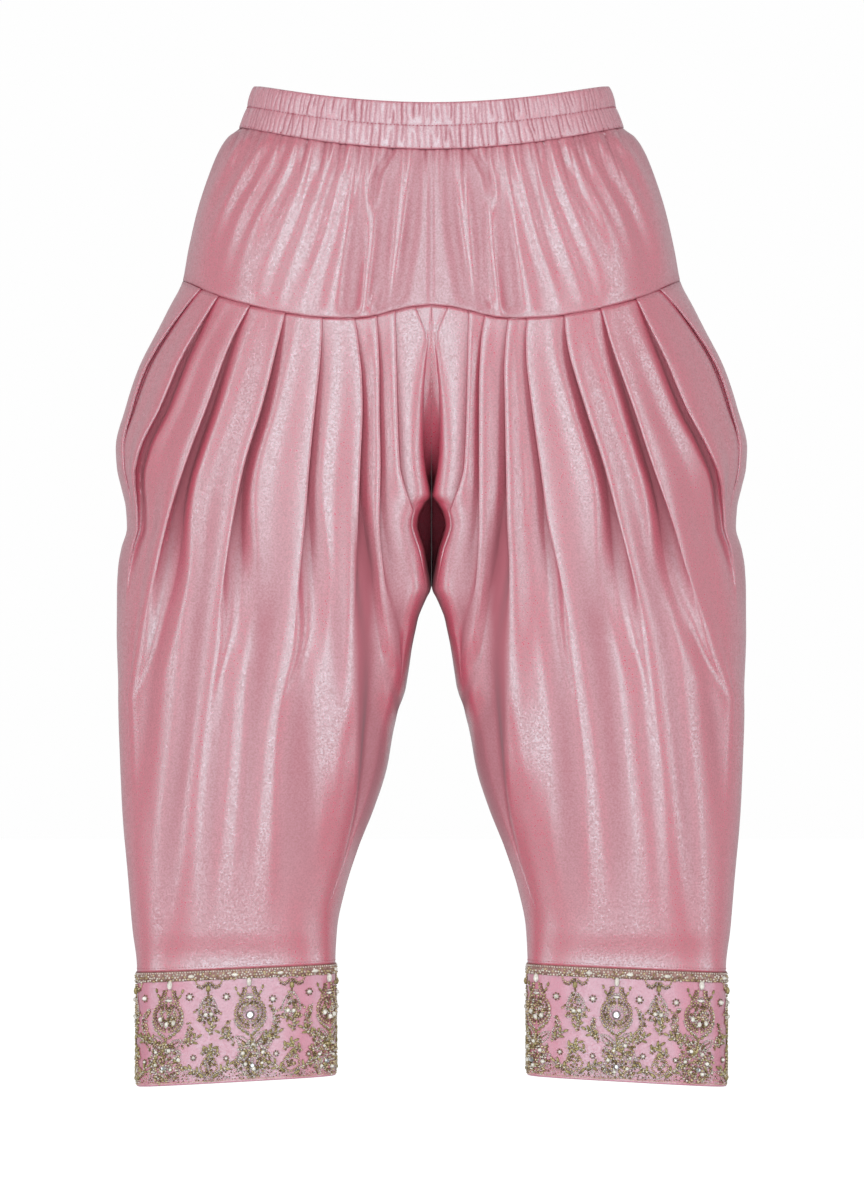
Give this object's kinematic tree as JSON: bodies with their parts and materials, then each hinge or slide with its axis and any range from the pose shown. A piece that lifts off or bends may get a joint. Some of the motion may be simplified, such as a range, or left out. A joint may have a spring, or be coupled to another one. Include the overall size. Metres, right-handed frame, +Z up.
{
  "type": "pleated salwar trousers",
  "caption": "Loose pleated salwar in shimmering pink satin with a gathered elastic waist, a hip yoke, low crotch and embroidered straight cuffs.",
  "frame": {"origin": "middle of the waist opening, level with the top of the band at the sides", "axes": "+Z up, the front faces -Y, the wearer's left leg is on +X"},
  "size_m": [0.568, 0.2641, 0.899],
  "materials": {
    "satin": "shimmering satin",
    "waistband_satin": "gathered shimmering satin",
    "cuff_satin": "satin with hand embroidery",
    "bead_trim": "glass beads on braid"
  },
  "bodies": {
    "root": {"waistband": "waistband_satin", "yoke_front": "satin", "yoke_rear": "satin", "leg_left_front": "satin", "leg_left_rear": "satin", "leg_right_front": "satin", "leg_right_rear": "satin", "cuff_left": "cuff_satin", "cuff_right": "cuff_satin", "cuff_trim_left": "bead_trim", "cuff_trim_right": "bead_trim"}
  },
  "joints": []
}
